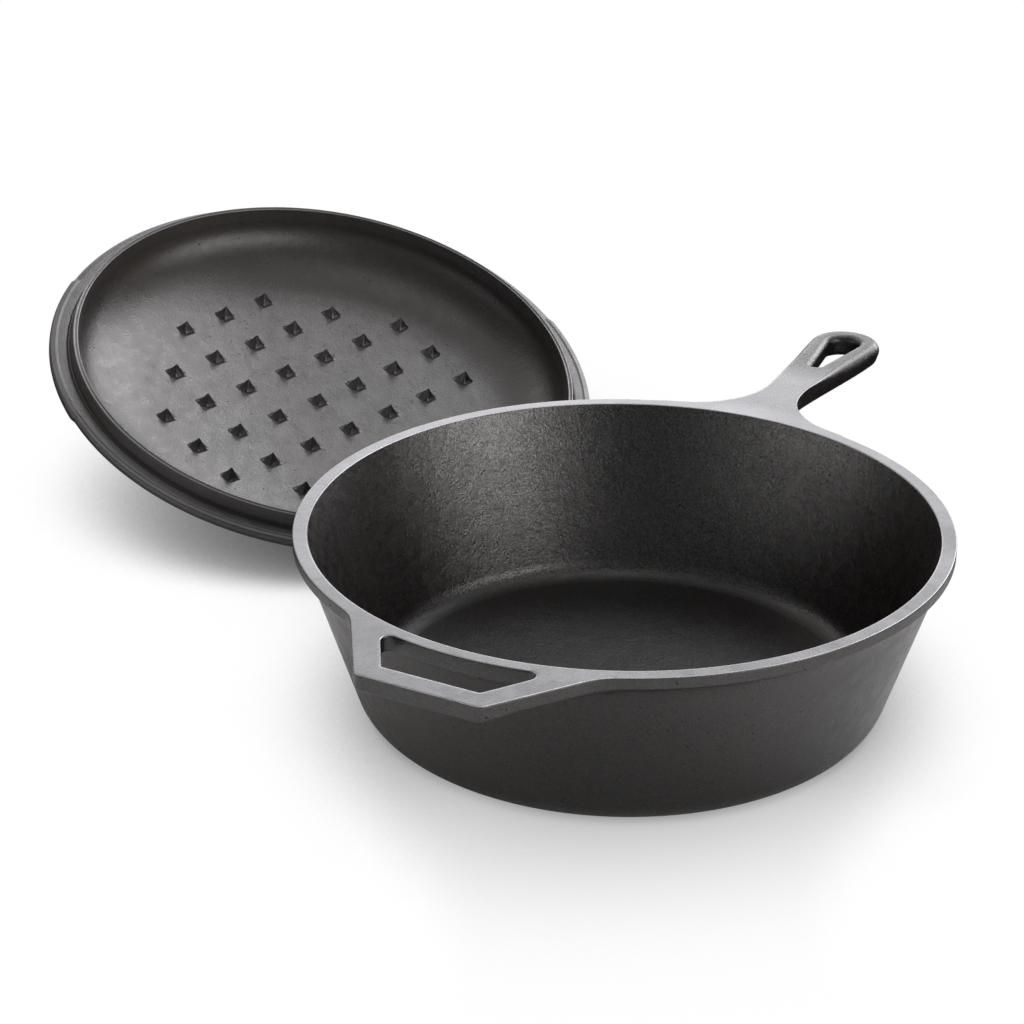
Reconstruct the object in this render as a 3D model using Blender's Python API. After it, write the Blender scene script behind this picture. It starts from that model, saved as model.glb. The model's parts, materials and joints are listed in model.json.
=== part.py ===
"""Covered deep skillet in cast iron: a deep frying pan with a long looped
handle and a short grip opposite it, and its loose domed lid.

Frame: metres, +Z up.  The origin is the centre of the pan's base, on the
table.  +X runs along the long handle.  The pan stands upright.  The lid lies
beside it with its underside up, leaning on its own loop handle and on the
shoulder of its dome.

Two castings make up the object.  Both handles of the pan are cast in one
piece with its bowl, and the lid's loop handle and basting points are cast in
one piece with the lid.
"""
import math

import bpy
from mathutils import Matrix, Vector

# In the names below, _R is a radius and _HALF is half a width.
MM = 0.001
SEGMENTS = 72                          # round the bowl and the lid
SHARP_ANGLE = math.radians(30)         # edges steeper than this are shaded sharp

# ---- pan -------------------------------------------------------------------
PAN_HEIGHT = 76.2 * MM
RIM_INNER_R = 125.0 * MM
RIM_OUTER_R = 130.9 * MM
WALL_DRAFT = math.radians(17.6)        # lean of the wall from the vertical
BASE_CORNER_R = 104.8 * MM             # where the outer wall would meet z = 0
BASE_FILLET = 14.5 * MM
LIP_DEPTH = 4.9 * MM                   # upright band under the rim
FLARE_DEPTH = 13.7 * MM                # where the flare runs out into the wall
FLARE_POWER = 1.6
EDGE_BREAK = 0.5 * MM
FLOOR_THICKNESS = 5.0 * MM
FLOOR_FILLET = 13.0 * MM
ROOT_BURY = 2.4 * MM                   # handle roots end this far inside the wall

# ---- long handle, seen from above ------------------------------------------
HANDLE_THICKNESS = 10.6 * MM
HANDLE_ROUND = 2.6 * MM                # rounding along the edges
HANDLE_ROOT_ANGLE = math.radians(18.5)  # where each flank leaves the rim
HANDLE_RIM_OVERLAP = 1.0 * MM          # flanks start this far inside the rim
ROOT_SPREAD = 0.98                     # buried root's angle, of the flanks' angle
ROOT_PULL = 22.0 * MM                  # reach of the flank curve's controls,
NECK_PULL = 16.0 * MM                  # at the rim and at the neck
ROUND_START_X = 138.0 * MM             # where the edge rounding fades in
ROUND_FADE = 34.0 * MM
NECK_X = 166.0 * MM
NECK_HALF = 7.6 * MM
LOOP_X = 232.2 * MM
LOOP_R = 15.0 * MM

# ---- teardrop hole in the long handle --------------------------------------
HOLE_TIP_X = 192.0 * MM
HOLE_R = 7.9 * MM
HOLE_TIP_GROWTH = 1.4                  # tip travel per unit of widening
HOLE_TIP_CUT = 0.8 * MM                # blunting of the tip
HOLE_TIP_SLOPE = 0.35                  # half width of the blunt end over its cut
HOLE_OVERCUT = 2.0 * MM                # above and below the handle

# ---- short grip, seen from above -------------------------------------------
GRIP_THICKNESS = 7.0 * MM
GRIP_BAR_X = -159.5 * MM
GRIP_HALF = 25.6 * MM
GRIP_CORNER_R = 5.0 * MM
GRIP_ROOT_X = -117.6 * MM
GRIP_ROOT_HALF = 53.9 * MM
GRIP_HOLE_X = -149.7 * MM
GRIP_HOLE_HALF = 20.0 * MM
GRIP_HOLE_CORNER_ANGLE = math.radians(16.1)
GRIP_HOLE_CORNER_R = 4.0 * MM
GRIP_HOLE_RIM_R = RIM_OUTER_R + 0.4 * MM
GRIP_ROOT_TUCK = math.radians(0.8)     # root runs on past the hole's rounding

# ---- lid, in its own frame: z = 0 on the seat, +z towards its top ----------
LID_R = RIM_OUTER_R
SEAT_INNER_R = 123.4 * MM
SEAT_BREAK_R = 0.6 * MM                # small slope inside the seat
SEAT_BREAK_DEPTH = 0.5 * MM
FLANGE_TIP_R = 121.3 * MM
FLANGE_BORE_R = 118.9 * MM
FLANGE_DEPTH = 6.6 * MM
BRIM_THICKNESS = 4.2 * MM
BRIM_LOWER_BREAK = 1.0 * MM
BRIM_UPPER_BREAK = 1.6 * MM
BRIM_ROOT_R = SEAT_INNER_R + 0.5 * MM  # where the brim's top meets the dome
BRIM_ROOT_RISE = 0.6 * MM
LID_INNER_FLAT_R = 80.0 * MM
LID_INNER_DEPTH = 23.6 * MM            # seat to the inner floor
COVE_INSET = 1.2 * MM                  # cove's foot inside the flange bore
LID_THICKNESS = 3.8 * MM
DOME_TOP = LID_INNER_DEPTH + LID_THICKNESS
DOME_FLAT_R = 78.7 * MM
DOME_REACH = 41.2 * MM                 # from there to where the curve would
                                       # come down to the seat
DOME_SWEEP = math.radians(74.0)        # part of that curve that is used
EAR_REACH = 0.7 * MM                   # slight widening over two arcs
EAR_HALF_ANGLE = math.radians(24.0)
EAR_FADE = math.radians(3.0)
EAR_ANGLE = math.radians(35.5)         # from the lid's x axis to an ear's middle

# ---- basting points on the lid's underside ---------------------------------
POINT_PITCH = 24.85 * MM
POINT_HALF = 3.3 * MM                  # at the inner floor
POINT_HEIGHT = 6.0 * MM
POINT_BURY = 1.2 * MM

# ---- loop handle on the lid, along the lid's x axis ------------------------
LOOP_TOP = 55.5 * MM                   # lid seat to the top of its loop
LOOP_BAR = 8.0 * MM
LOOP_HALF_LENGTH = 44.0 * MM
LOOP_INSIDE_HALF = LOOP_HALF_LENGTH - 11.0 * MM    # less the leg's width
LOOP_OUTER_FOOT = LOOP_HALF_LENGTH + 5.0 * MM
LOOP_OUTER_TOP = LOOP_HALF_LENGTH - 3.0 * MM
LOOP_OUTER_CORNER_R = 14.0 * MM
LOOP_INNER_FOOT = LOOP_INSIDE_HALF + 3.0 * MM
LOOP_INNER_TOP = LOOP_INSIDE_HALF - 2.0 * MM
LOOP_INNER_CORNER_R = 8.0 * MM
LOOP_BURY = 1.5 * MM                   # feet sunk into the dome
LOOP_HALF_WIDTH = 6.6 * MM
LOOP_CHAMFER = 1.6 * MM                # along the top edges
LOOP_CHAMFER_SHRINK = 0.03             # part of x taken off by the chamfer

# ---- how the lid lies, and the axis it is swung over on --------------------
LID_HOVER = 8.5 * MM                   # lid held level above its seat
LID_SPIN = math.radians(135.35)        # lid's own x axis when over the pan
SWING_POINT = Vector((0.0664, 0.1111, 0.0474))
SWING_AZIMUTH = math.radians(-30.5)
SWING_ELEVATION = math.radians(-1.0)
SWING_ANGLE = math.radians(-160.25)


# ---- scene helpers ---------------------------------------------------------
def clear_scene():
    for obj in list(bpy.data.objects):
        bpy.data.objects.remove(obj, do_unlink=True)
    for mesh in list(bpy.data.meshes):
        bpy.data.meshes.remove(mesh)


def iron(name, colour, roughness, metallic):
    material = bpy.data.materials.new(name)
    material.use_nodes = True
    inputs = material.node_tree.nodes["Principled BSDF"].inputs
    inputs["Base Color"].default_value = (*colour, 1.0)
    inputs["Roughness"].default_value = roughness
    inputs["Metallic"].default_value = metallic
    material.diffuse_color = (*colour, 1.0)
    return material


def add_object(name, verts, faces):
    mesh = bpy.data.meshes.new(name)
    mesh.from_pydata(verts, [], faces)
    mesh.validate()
    mesh.update()
    obj = bpy.data.objects.new(name, mesh)
    bpy.context.scene.collection.objects.link(obj)
    return obj


def add_casting(name, verts, faces, material):
    """Visible piece, shaded smooth except across its sharp edges."""
    obj = add_object(name, verts, faces)
    obj.data.materials.append(material)
    return obj


def add_guide(name, verts, faces):
    """Helper solid for a boolean, not rendered."""
    obj = add_object(name, verts, faces)
    obj.hide_render = True
    obj.display_type = 'WIRE'
    return obj


def add_boolean(obj, other, operation):
    modifier = obj.modifiers.new(operation.lower() + "_" + other.name, 'BOOLEAN')
    modifier.operation = operation
    modifier.solver = 'EXACT'
    modifier.object = other


def shade(obj):
    obj.data.shade_smooth()
    obj.data.set_sharp_from_angle(angle=SHARP_ANGLE)


# ---- curves and solids -----------------------------------------------------
def arc(centre_x, centre_y, radius, start, end, steps):
    """Points on an arc, angles in radians, both ends included."""
    angles = [start + (end - start) * i / steps for i in range(steps + 1)]
    return [(centre_x + radius * math.cos(angle), centre_y + radius * math.sin(angle))
            for angle in angles]


def arc_between(centre, radius, start, end, steps):
    """The shorter arc round a centre from one point to another."""
    from_centre = start - centre
    to_end = end - centre
    first = math.atan2(from_centre.y, from_centre.x)
    last = math.atan2(to_end.y, to_end.x)
    turn = (last - first + math.pi) % (2 * math.pi) - math.pi
    return arc(centre.x, centre.y, radius, first, first + turn, steps)


def rounded(corners, steps):
    """Polygon with rounded corners from (x, y, radius) triples."""
    points = []
    for i, (x, y, radius) in enumerate(corners):
        if radius <= 0.0:
            points.append((x, y))
            continue
        corner = Vector((x, y))
        back = (Vector(corners[i - 1][:2]) - corner).normalized()
        ahead = (Vector(corners[(i + 1) % len(corners)][:2]) - corner).normalized()
        half = math.acos(back.dot(ahead)) / 2.0
        centre = corner + (back + ahead).normalized() * (radius / math.sin(half))
        trim = radius / math.tan(half)
        points += arc_between(centre, radius, corner + back * trim,
                              corner + ahead * trim, steps)
    return points


def bezier(start, control_1, control_2, end, steps):
    """Points on a cubic curve, both ends included."""
    points = []
    for i in range(steps + 1):
        t = i / steps
        u = 1.0 - t
        points.append(tuple(
            u ** 3 * a + 3 * u * u * t * b + 3 * u * t * t * c + t ** 3 * d
            for a, b, c, d in zip(start, control_1, control_2, end)))
    return points


def turned(profile, widening=lambda angle: 0.0):
    """Solid of revolution.  The profile runs from the axis out along the lower
    surface and back to the axis along the upper one, as (radius, z, reach)
    triples; reach is added to the radius in the share given by widening."""
    verts, rings = [], []
    for radius, z, reach in profile:
        if radius < 1e-9:
            rings.append([len(verts)] * SEGMENTS)
            verts.append((0.0, 0.0, z))
            continue
        rings.append(list(range(len(verts), len(verts) + SEGMENTS)))
        for k in range(SEGMENTS):
            angle = 2.0 * math.pi * k / SEGMENTS
            wide = radius + reach * widening(angle)
            verts.append((wide * math.cos(angle), wide * math.sin(angle), z))
    faces = []
    for ring, following in zip(rings, rings[1:]):
        for k in range(SEGMENTS):
            n = (k + 1) % SEGMENTS
            corners = (ring[k], ring[n], following[n], following[k])
            # on the axis two corners coincide and the face is a triangle
            faces.append(list(dict.fromkeys(corners)))
    return verts, faces


def stacked(levels):
    """Closed solid through outlines of equal length, given bottom to top, each
    as (z, points) with the points running anticlockwise."""
    verts = [(x, y, z) for z, points in levels for x, y in points]
    count = len(levels[0][1])
    top = (len(levels) - 1) * count
    faces = []
    for lower in range(0, top, count):
        upper = lower + count
        for k in range(count):
            n = (k + 1) % count
            faces.append([lower + k, lower + n, upper + n, upper + k])
    faces.append(list(range(count - 1, -1, -1)))
    faces.append(list(range(top, top + count)))
    return verts, faces


# ---- bowl ------------------------------------------------------------------
def inner_wall_r(z):
    return RIM_INNER_R - (PAN_HEIGHT - z) * math.tan(WALL_DRAFT)


def wall_foot(corner_r, z, fillet):
    """Rounding from a level surface at z up into the leaning wall; corner_r is
    where the two would meet."""
    centre_r = corner_r + (fillet * math.sin(WALL_DRAFT) - fillet) / math.cos(WALL_DRAFT)
    return arc(centre_r, z + fillet, fillet, -math.pi / 2, -WALL_DRAFT, 5)


def bowl_profile():
    points = [(0.0, 0.0)]
    points += wall_foot(BASE_CORNER_R, 0.0, BASE_FILLET)
    # outer wall, then the flare that runs out into the upright lip
    flare_z = PAN_HEIGHT - FLARE_DEPTH
    flare_r = BASE_CORNER_R + flare_z * math.tan(WALL_DRAFT)
    lip_z = PAN_HEIGHT - LIP_DEPTH
    lip_r = RIM_OUTER_R - EDGE_BREAK
    for i in range(5):
        t = i / 4.0
        points.append((flare_r + (lip_r - flare_r) * t ** FLARE_POWER,
                       flare_z + (lip_z - flare_z) * t))
    points += [(RIM_OUTER_R, lip_z + EDGE_BREAK),
               (RIM_OUTER_R, PAN_HEIGHT - EDGE_BREAK),
               (RIM_OUTER_R - EDGE_BREAK, PAN_HEIGHT),
               (RIM_INNER_R, PAN_HEIGHT)]
    # inside wall and floor
    points += wall_foot(inner_wall_r(FLOOR_THICKNESS), FLOOR_THICKNESS, FLOOR_FILLET)[::-1]
    points.append((0.0, FLOOR_THICKNESS))
    return [(r, z, 0.0) for r, z in points]


# ---- long handle -----------------------------------------------------------
def handle_flank():
    """The +y edge of the handle, from the rim to the middle of its round end."""
    start_r = RIM_OUTER_R - HANDLE_RIM_OVERLAP
    sine, cosine = math.sin(HANDLE_ROOT_ANGLE), math.cos(HANDLE_ROOT_ANGLE)
    start = (start_r * cosine, start_r * sine)
    flank = bezier(start, (start[0] + ROOT_PULL * sine, start[1] - ROOT_PULL * cosine),
                   (NECK_X - NECK_PULL, NECK_HALF), (NECK_X, NECK_HALF), 8)
    # taper to the round end
    lean = math.asin((LOOP_R - NECK_HALF) / math.hypot(LOOP_X - NECK_X, LOOP_R))
    return flank + arc(LOOP_X, 0.0, LOOP_R, math.pi / 2 + lean, 0.0, 9)


def handle_outline(z, inset, flare):
    """Handle seen from above.  inset draws the free part in, for the rounding
    along its edges, and flare scales the wings at its root."""
    upper = []
    for x, y in handle_flank():
        if x < NECK_X:
            y = NECK_HALF + (y - NECK_HALF) * flare
        shrink = inset * min(1.0, max(0.0, (x - ROUND_START_X) / ROUND_FADE))
        if x > LOOP_X:
            radius = math.hypot(x - LOOP_X, y)
            scale = (radius - shrink) / radius
            upper.append((LOOP_X + (x - LOOP_X) * scale, y * scale))
        else:
            upper.append((x, y - shrink))
    lower = [(x, -y) for x, y in upper]
    half = math.atan2(upper[0][1], upper[0][0]) * ROOT_SPREAD
    root = arc(0.0, 0.0, inner_wall_r(z) + ROOT_BURY, half, -half, 6)
    # the middle of the round end is already in the lower half
    return root + lower + upper[-2::-1]


def long_handle():
    top, edge = PAN_HEIGHT, HANDLE_ROUND
    bottom = top - HANDLE_THICKNESS
    levels = [  # z, inset, flare
        (bottom, edge, 0.25),
        (bottom + 0.35 * edge, 0.4 * edge, 0.3),
        (bottom + edge, 0.0, 0.45),
        (top - 0.5 * HANDLE_THICKNESS, 0.0, 0.9),
        (top - 0.8 * edge, 0.0, 1.0),
        (top - 0.25 * edge, 0.25 * edge, 1.0),
        (top, 0.8 * edge, 1.0),
    ]
    return stacked([(z, handle_outline(z, inset, flare)) for z, inset, flare in levels])


def teardrop(grow):
    """Hole outline, pointing at the pan and widened by grow."""
    radius = HOLE_R + grow
    tip = HOLE_TIP_X - HOLE_TIP_GROWTH * grow
    lean = math.asin(radius / (LOOP_X - tip))
    points = arc(LOOP_X, 0.0, radius, -math.pi / 2 - lean, math.pi / 2 + lean, 14)
    blunt_half = HOLE_TIP_SLOPE * HOLE_TIP_CUT
    return points + [(tip + HOLE_TIP_CUT, blunt_half), (tip + HOLE_TIP_CUT, -blunt_half)]


def hanging_hole():
    top, edge = PAN_HEIGHT, HANDLE_ROUND
    bottom = top - HANDLE_THICKNESS
    levels = [  # z, widening
        (bottom - HOLE_OVERCUT, edge),
        (bottom, 0.8 * edge),
        (bottom + 0.4 * edge, 0.25 * edge),
        (bottom + edge, 0.0),
        (top - 0.8 * edge, 0.0),
        (top - 0.25 * edge, 0.25 * edge),
        (top, 0.8 * edge),
        (top + HOLE_OVERCUT, edge),
    ]
    return stacked([(z, teardrop(grow)) for z, grow in levels])


# ---- short grip ------------------------------------------------------------
def grip_arm(z):
    """Inner edge of the +y arm: its buried root end, then round the corner of
    the opening towards the bar."""
    def rim_direction(angle):
        return Vector((-math.cos(angle), math.sin(angle)))

    corner_angle = GRIP_HOLE_CORNER_ANGLE
    corner = (-GRIP_HOLE_RIM_R * math.cos(corner_angle),
              GRIP_HOLE_RIM_R * math.sin(corner_angle))
    to_bar = Vector((GRIP_HOLE_X - corner[0], GRIP_HOLE_HALF - corner[1])).normalized()
    along_rim = Vector((-math.sin(corner_angle), -math.cos(corner_angle)))
    trim = GRIP_HOLE_CORNER_R / math.tan(to_bar.angle(along_rim) / 2.0)
    # where the corner's rounding touches the rim circle
    touch_angle = corner_angle - trim / GRIP_HOLE_RIM_R

    root_r = inner_wall_r(z) + ROOT_BURY
    outer_angle = math.atan2(GRIP_ROOT_HALF, -GRIP_ROOT_X)
    inner_angle = touch_angle - GRIP_ROOT_TUCK
    root = [(-root_r * math.cos(angle), root_r * math.sin(angle))
            for angle in (outer_angle, (outer_angle + inner_angle) / 2, inner_angle)]

    touch = Vector((-GRIP_HOLE_RIM_R * math.cos(touch_angle),
                    GRIP_HOLE_RIM_R * math.sin(touch_angle)))
    centre = touch + rim_direction(touch_angle) * GRIP_HOLE_CORNER_R
    bend = arc_between(centre, GRIP_HOLE_CORNER_R, touch,
                       Vector(corner) + to_bar * trim, 5)
    return root + bend


def grip_outline(z):
    """Grip seen from above: two arms and a straight bar, as one open band
    whose ends are buried in the rim."""
    outer = rounded([(GRIP_ROOT_X, GRIP_ROOT_HALF, 0.0),
                     (GRIP_BAR_X, GRIP_HALF, GRIP_CORNER_R),
                     (GRIP_BAR_X, -GRIP_HALF, GRIP_CORNER_R),
                     (GRIP_ROOT_X, -GRIP_ROOT_HALF, 0.0)], 4)
    upper = grip_arm(z)
    lower = [(x, -y) for x, y in upper]
    bar = [(GRIP_HOLE_X, -GRIP_HOLE_HALF), (GRIP_HOLE_X, GRIP_HOLE_HALF)]
    return outer + lower + bar + upper[::-1]


def short_grip():
    return stacked([(z, grip_outline(z)) for z in (PAN_HEIGHT - GRIP_THICKNESS, PAN_HEIGHT)])


def build_skillet(material):
    pan = add_casting("skillet", *turned(bowl_profile()), material)
    handle = add_guide("guide_long_handle", *long_handle())
    hole = add_guide("guide_hanging_hole", *hanging_hole())
    grip = add_guide("guide_short_grip", *short_grip())
    add_boolean(pan, handle, 'UNION')
    add_boolean(pan, grip, 'UNION')
    add_boolean(pan, hole, 'DIFFERENCE')
    shade(pan)


# ---- lid -------------------------------------------------------------------
def lid_profile():
    """From the axis out along the underside, round the flange and brim, and
    back over the dome."""
    points = [(0.0, LID_INNER_DEPTH, 0.0)]
    # cove from the inner floor down to the flange
    cove_reach = FLANGE_BORE_R - COVE_INSET - LID_INNER_FLAT_R
    for i in range(8):
        angle = math.pi / 2 * i / 7.0
        points.append((LID_INNER_FLAT_R + cove_reach * math.sin(angle),
                       LID_INNER_DEPTH * math.cos(angle), 0.0))
    points += [(FLANGE_BORE_R, -FLANGE_DEPTH, 0.0),
               (FLANGE_TIP_R, -FLANGE_DEPTH, 0.0),
               (SEAT_INNER_R - SEAT_BREAK_R, -SEAT_BREAK_DEPTH, 0.0),
               (SEAT_INNER_R, 0.0, 0.0),
               (LID_R - BRIM_LOWER_BREAK, 0.0, EAR_REACH),
               (LID_R, BRIM_LOWER_BREAK, EAR_REACH),
               (LID_R, BRIM_THICKNESS - BRIM_UPPER_BREAK, EAR_REACH),
               (LID_R - BRIM_UPPER_BREAK, BRIM_THICKNESS, EAR_REACH),
               (BRIM_ROOT_R, BRIM_THICKNESS + BRIM_ROOT_RISE, 0.0)]
    # dome back to the axis
    for i in range(9):
        angle = DOME_SWEEP * (1.0 - i / 8.0)
        points.append((DOME_FLAT_R + DOME_REACH * math.sin(angle),
                       DOME_TOP * math.cos(angle), 0.0))
    points.append((0.0, DOME_TOP, 0.0))
    return points


def ear(angle):
    """1 over the two widened arcs, fading at their ends."""
    off_middle = abs((angle - EAR_ANGLE + math.pi / 2) % math.pi - math.pi / 2)
    return min(1.0, max(0.0, (EAR_HALF_ANGLE - off_middle) / EAR_FADE))


def basting_points():
    """Four-sided points on a square grid, in rows of 3, 5, 7, 7, 7, 5 and 3."""
    verts, faces = [], []
    base = LID_INNER_DEPTH + POINT_BURY
    tip = LID_INNER_DEPTH - POINT_HEIGHT
    half = POINT_HALF + POINT_BURY * (POINT_HALF / POINT_HEIGHT)
    for i in range(-3, 4):
        for j in range(-3, 4):
            if abs(i) + abs(j) > 4:
                continue
            x, y = i * POINT_PITCH, j * POINT_PITCH
            n = len(verts)
            verts += [(x - half, y - half, base), (x + half, y - half, base),
                      (x + half, y + half, base), (x - half, y + half, base),
                      (x, y, tip)]
            faces += [[n, n + 1, n + 2, n + 3], [n, n + 4, n + 1],
                      [n + 1, n + 4, n + 2], [n + 2, n + 4, n + 3],
                      [n + 3, n + 4, n]]
    return verts, faces


def loop_arch(foot, corner, top, radius, steps):
    """One edge of the loop in x and z, from x = foot to x = -foot."""
    foot_z = DOME_TOP - LOOP_BURY
    return rounded([(foot, foot_z, 0.0), (corner, top, radius),
                    (-corner, top, radius), (-foot, foot_z, 0.0)], steps)


def loop_handle():
    # out along the outer edge, back along the inner one
    outline = (loop_arch(LOOP_OUTER_FOOT, LOOP_OUTER_TOP, LOOP_TOP,
                         LOOP_OUTER_CORNER_R, 6)
               + loop_arch(-LOOP_INNER_FOOT, -LOOP_INNER_TOP, LOOP_TOP - LOOP_BAR,
                           LOOP_INNER_CORNER_R, 5))
    # on the side faces, points above the bar's middle line are drawn in
    middle_line = LOOP_TOP - LOOP_BAR / 2
    side = [(x * (1 - LOOP_CHAMFER_SHRINK), z - LOOP_CHAMFER) if z > middle_line else (x, z)
            for x, z in outline]
    verts, faces = stacked([(-LOOP_HALF_WIDTH, side),
                            (-LOOP_HALF_WIDTH + LOOP_CHAMFER, outline),
                            (LOOP_HALF_WIDTH - LOOP_CHAMFER, outline),
                            (LOOP_HALF_WIDTH, side)])
    # the levels lie along y; swapping y and z mirrors the solid, so each face
    # is turned over, keeping its first corner
    return ([(x, y, z) for x, z, y in verts],
            [face[:1] + face[:0:-1] for face in faces])


def lid_over_pan():
    """Placement of the lid held level over the pan."""
    return (Matrix.Translation((0.0, 0.0, PAN_HEIGHT + LID_HOVER))
            @ Matrix.Rotation(LID_SPIN, 4, 'Z'))


def lid_swing():
    """Rotation that carries the lid from over the pan to where it lies."""
    level = math.cos(SWING_ELEVATION)
    axis = Vector((level * math.cos(SWING_AZIMUTH), level * math.sin(SWING_AZIMUTH),
                   math.sin(SWING_ELEVATION)))
    return (Matrix.Translation(SWING_POINT) @ Matrix.Rotation(SWING_ANGLE, 4, axis)
            @ Matrix.Translation(-SWING_POINT))


def build_lid(material):
    lid = add_casting("lid", *turned(lid_profile(), ear), material)
    points = add_guide("guide_basting_points", *basting_points())
    loop = add_guide("guide_loop_handle", *loop_handle())
    # the empty stands on the axis the lid is swung over on
    hinge = bpy.data.objects.new("lid_swing_axis", None)
    bpy.context.scene.collection.objects.link(hinge)
    hinge.matrix_world = Matrix.Translation(SWING_POINT)
    lid.parent = hinge
    lid.matrix_basis = hinge.matrix_world.inverted() @ lid_swing() @ lid_over_pan()
    for guide in (points, loop):
        guide.parent = lid
        add_boolean(lid, guide, 'UNION')
    shade(lid)


clear_scene()
build_skillet(iron("seasoned_iron_pan", colour=(0.045, 0.043, 0.042),
                   roughness=0.45, metallic=0.6))
build_lid(iron("seasoned_iron_lid", colour=(0.055, 0.052, 0.050),
               roughness=0.42, metallic=0.6))
bpy.context.view_layer.update()
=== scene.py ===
"""Covered deep skillet in seasoned sand-cast iron: the pan, and the lid with its
loop handle and basting points.

The pan stands on z = 0, centred on the z axis, with its long handle towards +x
and its short grip towards -x.  The lid is shaped in its own frame, seat at
z = 0 and dome upwards, then swung about its joint.  Shapes are worked out in
millimetres and turned into metres as their meshes are made."""
import json
import math
from itertools import product

import bpy
import numpy as np
from mathutils import Matrix, Vector


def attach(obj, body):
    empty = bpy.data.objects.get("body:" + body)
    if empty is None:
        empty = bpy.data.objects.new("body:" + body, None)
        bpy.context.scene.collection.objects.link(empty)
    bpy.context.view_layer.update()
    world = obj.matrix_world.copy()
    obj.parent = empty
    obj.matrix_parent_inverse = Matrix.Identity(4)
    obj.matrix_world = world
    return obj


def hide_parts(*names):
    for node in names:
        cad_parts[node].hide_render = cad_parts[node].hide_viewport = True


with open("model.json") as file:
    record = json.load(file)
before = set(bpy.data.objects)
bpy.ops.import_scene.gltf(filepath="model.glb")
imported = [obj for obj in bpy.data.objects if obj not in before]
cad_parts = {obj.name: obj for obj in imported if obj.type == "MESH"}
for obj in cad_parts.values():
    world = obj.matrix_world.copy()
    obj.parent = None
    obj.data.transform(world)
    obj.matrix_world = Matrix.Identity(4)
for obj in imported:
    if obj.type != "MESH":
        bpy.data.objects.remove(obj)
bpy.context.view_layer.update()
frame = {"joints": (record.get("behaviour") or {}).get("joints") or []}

MM = 0.001

# ---- pan sizes --------------------------------------------------------------
TOP = 76.2                      # rim height
R_IN, R_OUT = 125.0, 130.9      # rim
WALL_DRAFT = math.radians(17.6)
BASE_R, BASE_FILLET = 104.8, 14.5
LIP, FLARE = 4.9, 13.7          # depths below the rim of the lip and the flare
LIP_EDGE_R = 0.6
FLOOR_Z, FLOOR_FILLET = 3.6, 10.0
CAVITY_DRAFT = math.radians(18.6)
RIM_EDGE_R, CAVITY_EDGE_R = 0.42, 0.4
OVERSHOOT = 30.0                # how far the profiles run on above the rim
PAST_AXIS = -5.0                # and how far past the axis

# long handle
ROOT_ANGLE = math.radians(18.5)  # where its wings meet the rim
ROOT_X = 112.0                  # start of its plans, inside the wall
NECK_X, NECK_HALF = 166.0, 7.6
END_X, END_R = 232.4, 15.4      # round end
HOLE_X, HOLE_R = 231.4, 6.9     # teardrop hole: its round end and its tip
TIP_X, TIP_R = 198.6, 2.0
WING_DEPTH, WING_EDGE_R = 4.9, 1.2
RIB_DEPTH, RIB_EDGE_R = 10.6, 3.4
RIB_ROOT_LIFT = 1.6             # the rib is shallower by this at its root
RIB_FILLET, HANDLE_FILLET = 7.0, 6.5
END_SOFTENING = 4.0             # extra rounding of the top edge at the end
HOLE_EDGE_R = 3.0
HOLE_DRAFT_LOW, HOLE_DRAFT_HIGH = 0.24, 0.10

# short grip: a bar on two arms round an opening
GRIP_ROOT_X, GRIP_ROOT_HALF = -112.0, 57.5
BAR_X, BAR_HALF, BAR_CORNER_R = -159.5, 25.6, 5.0
GRIP_DEPTH, BAR_EXTRA_DEPTH = 6.3, 0.6
GRIP_EDGE_R, GRIP_FILLET = 1.9, 5.5
GRIP_HOLE_X, GRIP_HOLE_HALF, GRIP_HOLE_CORNER_R = -149.7, 20.0, 1.2
GRIP_HOLE_ANGLE = math.radians(16.1)    # its ends along the rim
GRIP_HOLE_RIM = R_OUT - 0.25
GRIP_HOLE_LAND_R, GRIP_HOLE_EDGE_R = 3.4, 0.5

# ---- lid sizes --------------------------------------------------------------
LID_HOVER = 8.5                 # seat above the pan's rim
LID_SPIN = math.radians(135.35)
LID_R = R_OUT
FLANGE_OUT, FLANGE_IN, FLANGE_DEPTH = 121.3, 118.9, 6.6
LID_FLOOR, LID_THICK = 23.6, 3.8
LID_TOP = LID_FLOOR + LID_THICK
FLAT_IN, COVE_R = 71.0, 117.7   # inner cove, from its start to the flange
FLAT_OUT, DOME_REACH = 78.7, 41.2
DISH, DISH_R = 2.3, 80.0        # fall of the inner floor over this radius
BRIM_EDGE_R, BRIM_MIDDLE_Z = 1.5, 2.3
EAR_ANGLE = math.radians(35.5)  # one ear here and one opposite
EAR_HALF, EAR_RAMP = math.radians(24.0), math.radians(1.6)
EAR_REACH, EAR_SHARPEN = 0.7, 0.5

POINT_PITCH = 24.85
POINT_HALF, POINT_HEIGHT = 3.2, 6.1
POINT_SHIFT = 0.3               # how far off true a point may lie, per unit

LOOP_TOP = 55.5
LOOP_HALF_WIDTH, LOOP_MIDDLE_EXTRA = 6.6, 1.2
LOOP_EDGE_R, LOOP_FOOT_FILLET = np.float32(3.2), np.float32(9.0)
LOOP_TRIM = np.float32(0.06)    # taken off its whole surface
LOOP_SUNK = 1.3                 # depth of its cut underside below the dome's top
LOOP_BOX_X, LOOP_BOX_Y = 60.0, 19.0     # half extents of its feet

# ---- viewpoint --------------------------------------------------------------
CAM_PLACE = (-0.800325, -0.394551, 0.486287)
CAM_RIGHT = (0.484808, -0.874617, -0.002654)
CAM_UP = (0.363560, 0.198763, 0.910119)
CAM_BACK = (-0.795478, -0.442198, 0.414338)
CAM_LENS = 86.934375
# level directions away from the camera, to its right, and back towards it
AHEAD = (0.874, 0.486, 0.0)
ACROSS = (0.4859, -0.874, 0.0)
TOWARDS = (-0.874, -0.4859, 0.0)


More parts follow.
